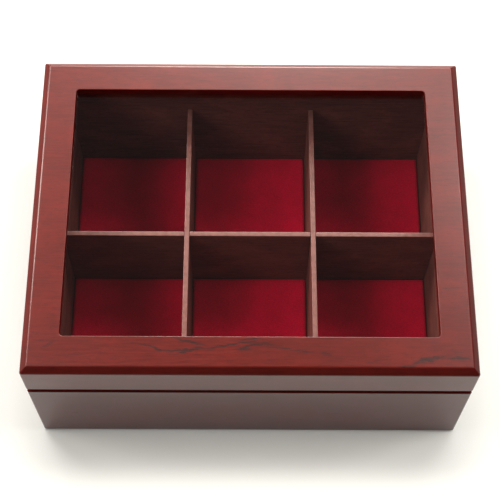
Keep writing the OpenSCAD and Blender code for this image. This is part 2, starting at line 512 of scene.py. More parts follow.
@dataclass(frozen=True)
class Pattern:
    """One noise pattern of a finish, at its real size, and the tone that it lays on.

    The tone starts where the noise passes the lower limit, and has its full share from the
    upper one on.
    """

    width_mm: float
    length_mm: float
    detail: float
    limits: Point2 = (0.0, 1.0)
    share: float = 1.0
    distortion: float = 0.0

    def noise(self, tree: Tree, place: Any) -> Any:
        """Adds the noise, drawn out along X.

        Args:
            tree: The material's tree.
            place: Coordinates in metres.

        Returns:
            The noise's value socket.
        """
        across = 1 / (self.width_mm * MM)
        size = (1 / (self.length_mm * MM), across, across)
        sized = add_node(tree, "ShaderNodeMapping", {0: place, "Scale": size})
        values = {"Vector": sized, "Scale": 1.0, "Detail": self.detail, "Distortion": self.distortion}
        return add_node(tree, "ShaderNodeTexNoise", values).outputs[0]

    def lay_on(self, tree: Tree, value: Any, under: Any, tone: str) -> Any:
        """Adds the step between the limits, and the blend that lays the tone on.

        Args:
            tree: The material's tree.
            value: The noise's value socket.
            under: Colour under the tone.
            tone: The tone, as sRGB hex.

        Returns:
            The blend's colour socket.
        """
        low, high = self.limits
        step = add_node(
            tree,
            "ShaderNodeMapRange",
            {0: value, "From Min": low, "From Max": high, "To Max": self.share},
            interpolation_type="SMOOTHSTEP",
        )
        colours = {0: step, 6: under, 7: linear(tone)}
        return add_node(tree, "ShaderNodeMix", colours, data_type="RGBA").outputs[2]


def raised(
    tree: Tree, looks: dict, height: Any, relief: Point2, kind: str = "ShaderNodeBsdfPrincipled"
) -> Any:
    """Adds a shader over a surface that a pattern raises.

    Args:
        tree: The material's tree.
        looks: The shader's values and links.
        height: Value socket of the pattern.
        relief: Strength of the relief, and its depth in millimetres.
        kind: The shader's class name.

    Returns:
        The shader.
    """
    strength, depth_mm = relief
    values = {"Strength": strength, "Distance": depth_mm * MM, "Height": height}
    return add_node(tree, kind, {**looks, "Normal": add_node(tree, "ShaderNodeBump", values)})


@dataclass(frozen=True)
class GumMark:
    """One dark gum streak in the cherry of the lid, as an ellipse that noise breaks up."""

    x_mm: float
    y_mm: float
    half_length_mm: float
    half_width_mm: float
    turn_deg: float = 0.0
    strength: float = 1.0


@dataclass(frozen=True)
class Gum:
    """Dark gum in cherry: where its marks lie, and how they fray into fine streaks.

    Each mark has a thin dark core in a paler smear. It is an upright column, endless in Z.
    """

    marks: tuple[GumMark, ...]
    colour: str = "220e0c"
    wander_mm: float = 5.0
    wander_reach_mm: Corner = (2.4, 3.0, 0.0)
    endless: float = 1000.0
    fade: Point2 = (2.0, 0.3)
    mark_weight: float = 0.9
    streaks: Pattern = Pattern(0.4, 6.0, 3)
    streak_weight: float = 2.4
    smear: Corner = (1.35, 2.0, 0.45)
    core: Corner = (1.85, 2.2, 0.5)

    def mask(self, tree: Tree, place: Any) -> Any:
        """Adds the mask of all the gum marks.

        Args:
            tree: The material's tree.
            place: Object coordinates in metres.

        Returns:
            The mask's node: 0 for plain wood, and near 1 in the core of a mark.
        """
        values = {"Vector": place, "Scale": 1 / (self.wander_mm * MM), "Detail": 3}
        wander = add_node(tree, "ShaderNodeTexNoise", values).outputs[1]
        signed = {0: wander, 1: (-0.5, -0.5, -0.5)}
        shift = add_node(tree, "ShaderNodeVectorMath", signed, operation="ADD")
        reach = [length * MM for length in self.wander_reach_mm]
        shifted = {0: shift, 1: reach, 2: place}
        moved = add_node(tree, "ShaderNodeVectorMath", shifted, operation="MULTIPLY_ADD")
        total: Any = 0.0
        for mark in self.marks:
            ellipse = {
                0: moved,
                "Location": (mark.x_mm * MM, mark.y_mm * MM, 0),
                "Rotation": (0, 0, math.radians(mark.turn_deg)),
                "Scale": (mark.half_length_mm * MM, mark.half_width_mm * MM, self.endless),
            }
            spot = add_node(tree, "ShaderNodeMapping", ellipse, vector_type="TEXTURE")
            out = add_node(tree, "ShaderNodeVectorMath", {0: spot}, operation="LENGTH").outputs[1]
            edge, full = self.fade
            fade = {0: out, "From Min": edge, "From Max": full, "To Max": mark.strength}
            one = add_node(tree, "ShaderNodeMapRange", fade, interpolation_type="SMOOTHSTEP")
            total = add_node(tree, "ShaderNodeMath", {0: total, 1: one}, operation="MAXIMUM")
        fine = {0: self.streaks.noise(tree, place), 1: self.streak_weight}
        streaks = add_node(tree, "ShaderNodeMath", fine, operation="MULTIPLY")
        summed = {0: total, 1: self.mark_weight, 2: streaks}
        drawn = add_node(tree, "ShaderNodeMath", summed, operation="MULTIPLY_ADD")
        layers = {}
        for number, (low, high, share) in enumerate((self.smear, self.core)):
            step = {0: drawn, "From Min": low, "From Max": high, "To Max": share}
            layers[number] = add_node(
                tree, "ShaderNodeMapRange", step, interpolation_type="SMOOTHSTEP"
            )
        return add_node(tree, "ShaderNodeMath", layers, operation="ADD")


@dataclass(frozen=True)
class CherryLacquer:
    """Cherry veneer, stained red and sprayed with a hard lacquer that was rubbed to a soft gloss.

    The stain gives a deep brownish red, fine pores run along the grain, and the lacquer
    mirrors bright things softly and turns pale at grazing angles. The pores are drawn coarser
    than real ones, which wouldn't show.
    """

    name: str
    stain: str = "570b04"
    dark_stain: str = "4c0903"
    warm_stain: str = "5c0d04"
    pore: str = "240402"
    grain: Grain = Grain.ACROSS
    roughness: float = 0.32
    roughness_spread: Point2 = (-0.03, 0.04)
    ior: float = 1.43
    relief: Point2 = (0.4, 0.03)
    bands: Pattern = Pattern(1.1, 18.0, 4, (0.3, 0.7))
    clouds: Pattern = Pattern(13.0, 20.8, 3, (0.4, 0.75))
    flecks: Pattern = Pattern(1.7, 2.55, 2, (0.5, 0.68), 0.5)
    pores: Pattern = Pattern(0.45, 6.0, 3, (0.5, 0.72), 0.4)
    lines: Pattern = Pattern(1.6, 34.0, 3, (0.64, 0.72), 0.4)
    gum: Optional[Gum] = None

    def surface(self, tree: Tree, place: Any) -> Any:
        """Adds the wood, with its patterns along the grain.

        Args:
            tree: The material's tree.
            place: Object coordinates in metres.

        Returns:
            The shader.
        """
        turn = (0, 0, math.radians(-self.grain.value))
        along = add_node(tree, "ShaderNodeMapping", {0: place, "Rotation": turn})
        colour: Any = linear(self.dark_stain)
        drawn = {}
        for pattern, tone in (
            (self.bands, self.stain),
            (self.clouds, self.warm_stain),
            (self.flecks, self.dark_stain),
            (self.pores, self.pore),
            (self.lines, self.pore),
        ):
            drawn[pattern] = pattern.noise(tree, along)
            colour = pattern.lay_on(tree, drawn[pattern], colour, tone)
        if self.gum:
            colours = {0: self.gum.mask(tree, place), 6: colour, 7: linear(self.gum.colour)}
            colour = add_node(tree, "ShaderNodeMix", colours, data_type="RGBA").outputs[2]
        low, high = (self.roughness + part for part in self.roughness_spread)
        spread = {0: drawn[self.bands], "To Min": low, "To Max": high}
        rough = add_node(tree, "ShaderNodeMapRange", spread)
        looks = {"Base Color": colour, "Roughness": rough, "IOR": self.ior}
        return raised(tree, looks, drawn[self.pores], self.relief)


@dataclass(frozen=True)
class Flecked:
    """Base of the plain finishes, where one pattern gives both the flecks and the relief."""

    name: str
    ground: str
    fleck: str
    pattern: Pattern
    relief: Point2
    roughness: float
    shine: tuple[tuple[str, float], ...] = ()

    def surface(self, tree: Tree, place: Any) -> Any:
        """Adds the flecked surface.

        Args:
            tree: The material's tree.
            place: Object coordinates in metres.

        Returns:
            The shader.
        """
        height = self.pattern.noise(tree, place)
        colour = self.pattern.lay_on(tree, height, linear(self.ground), self.fleck)
        looks = {"Base Color": colour, "Roughness": self.roughness, **dict(self.shine)}
        return raised(tree, looks, height, self.relief)


@dataclass(frozen=True)
class StainedEdge(Flecked):
    """Sawn top edge of a divider, where the stain took lightly under a thin lacquer.

    It is paler and rosier than the faces beside it, partly its own lighter tone and partly painted
    highlight for the light its upward-facing top catches, and it keeps a soft shine.
    """

    name: str = "Stained sawn edge, lacquered"
    ground: str = "703f3a"
    fleck: str = "814e4a"
    pattern: Pattern = Pattern(3.0, 3.0, 4, (0.3, 0.7))
    relief: Point2 = (0.1, 0.02)
    roughness: float = 0.36
    shine: tuple[tuple[str, float], ...] = (("IOR", 1.5),)


@dataclass(frozen=True)
class Hardboard(Flecked):
    """Pressed fibre board, bare: brown and dull, with flecks of paler fibre."""

    name: str = "Bare hardboard"
    ground: str = "5d4130"
    fleck: str = "7a5a43"
    pattern: Pattern = Pattern(1.2, 1.2, 6, (0.4, 0.68), distortion=1.4)
    relief: Point2 = (0.3, 0.06)
    roughness: float = 0.6


@dataclass(frozen=True)
class GreyCard(Flecked):
    """Grey card, rolled and uncoated: matt, with fine flecks of paler pulp."""

    name: str = "Grey card"
    ground: str = "9c9078"
    fleck: str = "b3a88f"
    pattern: Pattern = Pattern(0.8, 0.8, 6, (0.4, 0.68), distortion=1.4)
    relief: Point2 = (0.3, 0.06)
    roughness: float = 0.9


@dataclass(frozen=True)
class PressedFelt(Flecked):
    """Needled wool felt, die cut: dark, matt and hairy, with paler fibres lying every way.

    The fibres are drawn coarser than real ones, which wouldn't show.
    """

    name: str = "Pressed dark felt"
    ground: str = "2b2624"
    fleck: str = "4a423e"
    pattern: Pattern = Pattern(0.35, 0.35, 5, (0.45, 0.7), distortion=2.5)
    relief: Point2 = (0.6, 0.12)
    roughness: float = 0.95
    shine: tuple[tuple[str, float], ...] = (("Specular IOR Level", 0.2), ("Sheen Weight", 0.3))


@dataclass(frozen=True)
class CottonVelvet:
    """Woven cotton velvet with a short upright pile, dyed crimson.

    Seen from above the pile is deep and saturated, and at grazing angles its tips turn pale.
    The tufts are drawn coarser than real ones, which wouldn't show.
    """

    name: str = "Crimson cotton velvet"
    dye: str = "d40031"
    dark_dye: str = "b8002a"
    roughness: float = 0.9
    shine: float = 0.05
    sheen: float = 0.12
    sheen_roughness: float = 0.35
    sheen_tint: str = "c80a44"
    relief: Point2 = (0.45, 0.15)
    tufts: Pattern = Pattern(0.7, 0.7, 3, (0.36, 0.64))
    crush: Pattern = Pattern(9.0, 9.0, 4)
    crush_share: float = 0.3

    def surface(self, tree: Tree, place: Any) -> Any:
        """Adds the pile.

        Args:
            tree: The material's tree.
            place: Object coordinates in metres.

        Returns:
            The shader.
        """
        tufts, crush = (pattern.noise(tree, place) for pattern in (self.tufts, self.crush))
        both = add_node(tree, "ShaderNodeMix", {0: self.crush_share, 2: tufts, 3: crush})
        looks = {
            "Base Color": self.tufts.lay_on(tree, both, linear(self.dark_dye), self.dye),
            "Roughness": self.roughness,
            "Specular IOR Level": self.shine,
            "Sheen Weight": self.sheen,
            "Sheen Roughness": self.sheen_roughness,
            "Sheen Tint": linear(self.sheen_tint),
        }
        return raised(tree, looks, tufts, self.relief)


@dataclass(frozen=True)
class PolishedBrass:
    """Rolled brass, polished on a wheel and lacquered.

    It mirrors its surroundings in warm yellow, with fine polishing lines and a faint bloom.
    The lines are drawn coarser than real ones, which wouldn't show.
    """

    name: str = "Polished brass"
    metal: str = "e0b85e"
    bloom: str = "b98a3c"
    roughness: float = 0.2
    roughness_spread: Point2 = (-0.06, 0.12)
    relief: Point2 = (0.12, 0.01)
    lines: Pattern = Pattern(0.12, 8.0, 2)
    clouds: Pattern = Pattern(4.0, 4.0, 3, (0.45, 0.75))

    def surface(self, tree: Tree, place: Any) -> Any:
        """Adds the polished metal.

        Args:
            tree: The material's tree.
            place: Object coordinates in metres.

        Returns:
            The shader.
        """
        scratch, cloud = (pattern.noise(tree, place) for pattern in (self.lines, self.clouds))
        colour = self.clouds.lay_on(tree, cloud, linear(self.metal), self.bloom)
        low, high = (self.roughness + part for part in self.roughness_spread)
        rough = add_node(tree, "ShaderNodeMapRange", {0: scratch, "To Min": low, "To Max": high})
        looks = {"Base Color": colour, "Metallic": 1.0, "Roughness": rough}
        return raised(tree, looks, scratch, self.relief)


@dataclass(frozen=True)
class FloatGlass:
    """Clear soda-lime float glass: flawless and flat, faintly green, letting the lamps through.

    What is seen through it is refracted. Light on its way to the lamps goes straight through,
    for lamp rays and for rays scattered inside the box alike, so no lamp is counted twice.
    """

    name: str = "Clear float glass"
    tint: str = "fbfdfc"
    ior: float = 1.5
    roughness: float = 0.0
    relief: Point2 = (0.02, 0.01)
    waves: Pattern = Pattern(40.0, 40.0, 2)

    def surface(self, tree: Tree, place: Any) -> Any:
        """Adds the glass, and the clear way for light.

        Args:
            tree: The material's tree.
            place: Object coordinates in metres.

        Returns:
            The shader.
        """
        looks = {"Color": linear(self.tint), "Roughness": self.roughness, "IOR": self.ior}
        waves = self.waves.noise(tree, place)
        glass = raised(tree, looks, waves, self.relief, kind="ShaderNodeBsdfGlass")
        clear = add_node(tree, "ShaderNodeBsdfTransparent", {"Color": linear(self.tint)})
        ray = add_node(tree, "ShaderNodeLightPath").outputs
        rays = {0: ray["Is Shadow Ray"], 1: ray["Is Reflection Ray"]}
        straight = add_node(tree, "ShaderNodeMath", rays, operation="MAXIMUM")
        return add_node(tree, "ShaderNodeMixShader", {0: straight, 1: glass, 2: clear})


@dataclass(frozen=True)
class StudioPaper:
    """Matt white paper of the studio floor, with a tooth that keeps it from shining.

    The tooth is drawn coarser than a real one, which wouldn't show.
    """

    name: str = "White studio paper"
    paper: str = "f9f9f8"
    roughness: float = 0.9
    shine: float = 0.1
    relief: Point2 = (0.05, 0.05)
    tooth: Pattern = Pattern(1.5, 1.5, 2)

    def surface(self, tree: Tree, place: Any) -> Any:
        """Adds the paper.

        Args:
            tree: The material's tree.
            place: Object coordinates in metres.

        Returns:
            The shader.
        """
        looks = {
            "Base Color": linear(self.paper),
            "Roughness": self.roughness,
            "Specular IOR Level": self.shine,
        }
        return raised(tree, looks, self.tooth.noise(tree, place), self.relief)


# The long branching marks in front of the window, the one that runs out at the right corner,
# and the short ones of both side rails
LID_GUM = Gum(
    marks=(
        GumMark(-55.3, -78.4, 4.8, 0.45, -9, 0.8),
        GumMark(-47.2, -80.7, 4.8, 0.55, -21),
        GumMark(-32.5, -81.5, 11.0, 0.8, 4),
        GumMark(-34.0, -83.2, 3.0, 0.5, 21, 0.8),
        GumMark(-30.5, -77.3, 8.0, 0.7, -14),
        GumMark(-12.2, -79.4, 9.5, 0.7, 12),
        GumMark(-1.0, -75.7, 7.5, 0.5, 3, 0.9),
        GumMark(2.0, -79.0, 7.5, 0.8, 14),
        GumMark(-3.0, -81.2, 4.5, 1.0, 0, 0.8),
        GumMark(-1.2, -77.3, 5.0, 0.7, 0, 0.9),
        GumMark(9.0, -78.4, 5.5, 0.7, -8, 0.8),
        GumMark(19.5, -81.2, 14.0, 0.45, -7, 0.85),
        GumMark(38.5, -84.1, 3.0, 0.9, -14, 0.9),
        GumMark(33.0, -80.2, 6.5, 0.4, 8, 0.5),
        GumMark(60.8, -87.7, 2.8, 0.45, 14, 0.8),
        GumMark(82.0, -88.6, 6.0, 0.9, 17, 0.95),
        GumMark(89.0, -86.6, 6.0, 1.3, 13, 1.1),
        GumMark(95.0, -85.8, 3.5, 0.7, 19, 0.8),
        GumMark(104.0, -85.6, 7.5, 0.8, -6, 0.9),
        GumMark(-101.1, -79.2, 3.2, 0.7, 29, 0.7),
        GumMark(-101.6, -76.0, 6.0, 0.5, 9, 0.5),
        GumMark(-98.3, -69.5, 3.2, 0.7, 19, 0.6),
        GumMark(103.5, 53.0, 8.0, 0.4, 7, 0.7),
        GumMark(101.0, 42.3, 4.4, 0.45, 14, 0.7),
        GumMark(107.3, 13.4, 3.6, 0.4, 16, 0.6),
        GumMark(104.0, -47.3, 7.0, 0.45, 10, 0.7),
        GumMark(104.0, 68.0, 7.0, 0.35, 6, 0.4),
    )
)


@dataclass
class Finishes:
    """Every finish of the box, each made once."""

    made: dict[str, Material] = field(default_factory=dict)

    def once(self, finish: Any) -> Material:
        """Makes a finish's material the first time it is asked for.

        Args:
            finish: The finish, with its name and its surface() method.

        Returns:
            Its material.
        """
        if finish.name not in self.made:
            material = bpy.data.materials.new(finish.name)
            material.use_nodes = True
            tree = material.node_tree
            tree.nodes.clear()
            place = add_node(tree, "ShaderNodeTexCoord").outputs["Object"]
            add_node(tree, "ShaderNodeOutputMaterial", {"Surface": finish.surface(tree, place)})
            self.made[finish.name] = material
        return self.made[finish.name]

    def lid_sheet(self) -> Material:
        """Cherry of the lid's top sheet, with its gum marks."""
        return self.once(CherryLacquer("Stained cherry, lid sheet", gum=LID_GUM))

    def wood(self, grain: Grain) -> Material:
        """Cherry of the lid's rim, with its grain in that direction."""
        name = f"Stained cherry, rubbed lacquer, grain {grain.name.lower()}"
        return self.once(CherryLacquer(name, grain=grain))

    def base_wood(self, grain: Grain) -> Material:
        """Cherry of the base, darker than the lid's as painted shade of the floor near it, and rubbed
        brighter.

        Args:
            grain: Direction of the grain.

        Returns:
            The material.
        """
        # The darker stain is painted shade: the base stands low, where its face mirrors the floor's
        # shade
        finish = CherryLacquer(
            name=f"Dark stained cherry, rubbed lacquer, grain {grain.name.lower()}",
            stain="4e0a05",
            dark_stain="450804",
            warm_stain="520b06",
            pore="200402",
            grain=grain,
            roughness=0.25,
            ior=1.36,
        )
        return self.once(finish)

    def inside(self, grain: Grain) -> Material:
        """Cherry as it is inside the box: left flat instead of rubbed up, and paler and greyer than
        outside, partly as painted reflection standing for the veil that the glass lays over it.

        Args:
            grain: Direction of the grain.

        Returns:
            The material.
        """
        # Paler and greyer than the outside stain: partly painted reflection, standing for the pale
        # veil the glass lays over the inside
        finish = CherryLacquer(
            name=f"Stained cherry, flat inside, grain {grain.name.lower()}",
            stain="753f3a",
            dark_stain="62332f",
            warm_stain="7f443e",
            pore="391c19",
            grain=grain,
            roughness=0.75,
            ior=1.1,
        )
        return self.once(finish)


# ------------------------------------------------------------------ boards

MITRE_STEPS = 5


def sweep_side(
    name: str, section: Sequence[Point2], side: Side, size: Point2, corner_r: float, base: Vector
) -> Piece:
    """Makes one mitred board of a rectangular frame.

    Args:
        name: Name of the piece.
        section: Closed outline: distance in from the outer face, and height.
        side: Which side of the frame it is.
        size: Outside width and depth of the frame.
        corner_r: Radius of the frame's upright outside corners.
        base: Middle of the frame at the section's zero height.

    Returns:
        The board, from mitre to mitre.
    """
    width, depth = size if side.grain is Grain.ACROSS else (size[1], size[0])
    turn = Matrix.Rotation(math.radians(side.value), 4, "Z")
    vertices = []
    for inset, height in section:
        radius = max(corner_r - inset, 0.0)
        in_corner = max(inset, corner_r)
        left, front = in_corner - width / 2, in_corner - depth / 2
        path = []
        for k in range(MITRE_STEPS + 1):
            angle = math.radians(225 + 45 * k / MITRE_STEPS)
            path.append((left + radius * math.cos(angle), front + radius * math.sin(angle)))
        path += [(-x, y) for x, y in reversed(path)]
        vertices += [base + turn @ Vector((x, y, height)) for x, y in path]
    across = 2 * (MITRE_STEPS + 1)
    ends = [tuple(range(start, len(vertices), across)) for start in (0, across - 1)]
    return new_piece(name, vertices, ends + grid_faces(len(section), across, round_rows=True))


def dress_board(board: Piece, side: Side, finishes: Finishes, outer: Material) -> None:
    """Gives a side board its outer finish, and its inner face the flat finish of the inside.

    Args:
        board: Board from sweep_side().
        side: Which side of the frame it is.
        finishes: The box's finishes.
        outer: Finish of every other face.
    """
    dress(board, outer, finishes.inside(side.grain))
    inward = Matrix.Rotation(math.radians(side.value), 3, "Z") @ Vector((0, 1, 0))
    for polygon in board.data.polygons:
        if polygon.normal.dot(inward) > FACES_INWARD_FROM:
            polygon.material_index = 1


def extruded(
    name: str, outline: Sequence[Point2], thick: float, middle: Vector, grain: Grain
) -> Piece:
    """Makes an upright board from its side view.

    Args:
        name: Name of the piece.
        outline: Side view: place along the board and height.
        thick: Thickness of the board.
        middle: Where the outline's origin stands, halfway through the board.
        grain: Direction that the board runs in.

    Returns:
        The board, with sharp edges.
    """
    turn = Matrix.Rotation(math.radians(grain.value), 4, "Z")
    count = len(outline)
    vertices = [
        middle + turn @ Vector((x, side * thick / 2, z)) for side in (-1, 1) for x, z in outline
    ]
    ends = [tuple(range(count)), tuple(range(2 * count - 1, count - 1, -1))]
    return new_piece(name, vertices, ends + grid_faces(2, count, round_columns=True))


def slab(name: str, low: Vector, high: Vector) -> Piece:
    """Makes a sharp rectangular sheet.

    Args:
        name: Name of the piece.
        low: Its lowest corner.
        high: Its highest corner.

    Returns:
        The sheet, to be eased by soften().
    """
    outline = [(low.x, low.z), (high.x, low.z), (high.x, high.z), (low.x, high.z)]
    middle = Vector((0, (low.y + high.y) / 2, 0))
    return extruded(name, outline, high.y - low.y, middle, Grain.ACROSS)


@dataclass(frozen=True)
class HingeRoom:
    """What is cut out of the two back boards for the hinges: leaf beds and knuckle relief."""

    leaf_t: float = 1.0 * MM
    leaf_sink: float = 0.05 * MM
    bed_gap: float = 0.1 * MM
    relief_gap: float = 0.3 * MM
    knuckle_r: float = 2.0 * MM

    def cut(self, board: Piece, up: bool) -> None:
        """Cuts the beds out of a back board.

        Args:
            board: Board of the base or the lid.
            up: Whether the beds lie above the meeting plane, as in the lid.
        """
        for word in ("left", "right"):
            low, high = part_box(f"hinge_{word}_{'lid' if up else 'base'}_leaf")
            pin_low, pin_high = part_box(f"hinge_{word}_pin")
            axis = (pin_low + pin_high) / 2
            reach = (self.leaf_t + self.leaf_sink) * (1 if up else -1)
            # A tenth of the reach past the meeting plane keeps the cut open
            bed_z = sorted((axis.z + reach, axis.z - 0.1 * reach))
            front_left = Vector((low.x - self.bed_gap, low.y - self.bed_gap, bed_z[0]))
            bed = slab("bed", front_left, Vector((high.x + self.bed_gap, axis.y, bed_z[1])))
            half = (pin_high.x - pin_low.x) / 2 + self.relief_gap
            radius = self.knuckle_r + self.relief_gap
            relief = lathe("relief", [(0, -half), (radius, -half), (radius, half), (0, half)])
            relief.data.transform(Matrix.Translation(axis) @ Matrix.Rotation(math.pi / 2, 4, "Y"))
            subtract(board, bed)
            subtract(board, relief)


@dataclass
class BaseCase:
    """The base: four mitred boards with a bevelled rim, and the panel let in from below.

    The back board's rim is only rounded, because the hinges are let into it.
    """

    sizes: BoxSizes
    finishes: Finishes
    rebate_h: float = 3.0 * MM
    lip_r: float = 0.2 * MM
    panel_ease_mm: float = 0.4

    def build(self) -> None:
        """Builds the boards and the bottom panel."""
        s = self.sizes
        low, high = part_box("base_front")
        height = high.z - low.z
        bevel = [(0, height - s.rim_bevel_h, s.rim_r), (s.rim_bevel_w, height, s.rim_r)]
        for side in Side:
            rim = [(0, height, s.back_rim_r)] if side is Side.BACK else bevel
            corners = [
                (0, 0, s.edge_r),
                *rim,
                (s.wall_t, height, s.inner_r),
                (s.wall_t, self.rebate_h, self.lip_r),
                (s.wall_t - s.rebate_w, self.rebate_h, 0),
                (s.wall_t - s.rebate_w, 0, self.lip_r),
            ]
            node, base = f"base_{side.word}", Vector((0, s.middle_y, low.z))
            size = (s.width, s.depth)
            board = sweep_side(f"{node}_board", round_corners(corners), side, size, s.corner_r, base)
            if side is Side.BACK:
                HingeRoom().cut(board, up=False)
            soften(board)
            dress_board(board, side, self.finishes, self.finishes.base_wood(side.grain))
            stand_for(board, node)
        panel = soften(slab("bottom_hardboard", *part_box("bottom_panel")), self.panel_ease_mm)
        stand_for(dress(panel, self.finishes.once(Hardboard())), "bottom_panel")


@dataclass
class Dividers:
    """Two long dividers and a cross divider, halved into each other."""

    sizes: BoxSizes
    finishes: Finishes
    ease_mm: float = 0.35

    def build(self) -> None:
        """Builds the three dividers with their sawn top edges."""
        s = self.sizes
        low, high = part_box("divider_cross")
        height = high.z - low.z
        slot = s.divider_t / 2 + s.joint_gap
        slot_z = height / 2 - s.joint_gap
        nodes = ("divider_left", "divider_right")
        top: list[Point2] = []
        for x in (middle_of(node).x for node in nodes):
            top += [(x - slot, height), (x - slot, slot_z), (x + slot, slot_z), (x + slot, height)]
        outline = [(low.x, 0), (low.x, height), *top, (high.x, height), (high.x, 0)]
        self.board("divider_cross", outline, Grain.ACROSS)
        for node in nodes:
            low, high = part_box(node)
            half = (high.y - low.y) / 2
            outline = [(-half, 0), (-half, height), (half, height), (half, 0)]
            outline += [(slot, 0), (slot, height / 2), (-slot, height / 2), (-slot, 0)]
            self.board(node, outline, Grain.BACKWARDS)

    def board(self, node: str, outline: Sequence[Point2], grain: Grain) -> None:
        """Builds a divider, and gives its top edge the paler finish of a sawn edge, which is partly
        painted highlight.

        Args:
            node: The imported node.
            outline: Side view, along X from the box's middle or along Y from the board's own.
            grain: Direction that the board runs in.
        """
        low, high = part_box(node)
        x = 0 if grain is Grain.ACROSS else (low.x + high.x) / 2
        middle = Vector((x, (low.y + high.y) / 2, low.z))
        board = extruded(f"{node}_board", outline, self.sizes.divider_t, middle, grain)
        soften(board, self.ease_mm)
        # The top edge's paler finish is partly painted highlight for the light that its upward face
        # catches
        dress(board, self.finishes.inside(grain), self.finishes.once(StainedEdge()))
        for polygon in board.data.polygons:
            if polygon.center.z > high.z - self.ease_mm * MM:
                polygon.material_index = 1
        stand_for(board, node)


@dataclass
class FloorPads:
    """Six floor pads: a card with velvet stretched over its top and edges."""

    finishes: Finishes
    velvet_t: float = 0.63 * MM
    fold_r: float = 1.1 * MM
    cell: float = 1.6 * MM
    puff: float = 0.12 * MM
    puff_length: float = 14 * MM
    card_ease_mm: float = 0.15

    def build(self) -> None:
        """Builds the cards and the velvets."""
        for row in Row:
            for column in Column:
                word = f"{row.name}_{column.name}".lower()
                node = f"floor_card_{word}"
                card = soften(slab(f"card_{word}", *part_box(node)), self.card_ease_mm, steps=2)
                stand_for(dress(card, self.finishes.once(GreyCard())), node)
                self.velvet(word)

    def velvet(self, word: str) -> None:
        """Builds the velvet of one pad.

        Args:
            word: The compartment's name, such as front_left.
        """
        node = f"floor_velvet_{word}"
        low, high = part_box(node)
        middle = (low + high) / 2
        half = ((high - low) / 2).xy
        inner = half - Vector((self.fold_r, self.fold_r))
        spare = math.pi / 2 * self.fold_r + high.z - low.z - self.fold_r
        reach = inner + Vector((spare, spare))
        columns, rows = (round(2 * length / self.cell) for length in reach)
        vertices = []
        for j in range(rows + 1):
            for i in range(columns + 1):
                flat = Vector((reach.x * (2 * i / columns - 1), reach.y * (2 * j / rows - 1)))
                x, y, lift = self.fold_over(flat, inner, spare, middle)
                vertices.append((middle.x + x, middle.y + y, high.z + lift))
        cloth = new_piece(f"velvet_{word}", vertices, grid_faces(rows + 1, columns + 1))
        if sum(polygon.normal.z for polygon in cloth.data.polygons) < 0:
            cloth.data.flip_normals()
        thick = cloth.modifiers.new("Pile and backing", "SOLIDIFY")
        thick.thickness = self.velvet_t
        thick.offset = -1
        smooth(bake(cloth))
        stand_for(dress(cloth, self.finishes.once(CottonVelvet())), node)

    def fold_over(self, flat: Vector, inner: Vector, spare: float, middle: Vector) -> Corner:
        """Carries a point of the flat cloth over the pad's edge.

        Args:
            flat: Place on the cloth, from its middle.
            inner: Half the width and depth of the pad's flat top.
            spare: Cloth past the start of the fold.
            middle: Middle of the pad, where the waves of this pad are taken from.

        Returns:
            The point's place from the pad's middle, and its height from the pad's top.
        """
        kept = Vector((min(max(flat.x, -inner.x), inner.x), min(max(flat.y, -inner.y), inner.y)))
        over = flat - kept
        length = min(over.length, spare)
        out = over.normalized() if over.length > 0 else Vector((0, 0))
        angle = min(length / self.fold_r, math.pi / 2)
        down = max(length - math.pi / 2 * self.fold_r, 0)
        place = kept + out * self.fold_r * math.sin(angle)
        lift = self.fold_r * (math.cos(angle) - 1) - down
        spot = Vector((flat.x + middle.x, flat.y + middle.y, 0))
        wave = noise.noise(spot / self.puff_length)
        return (place.x, place.y, lift + self.puff * (wave - 0.5) * math.cos(angle))


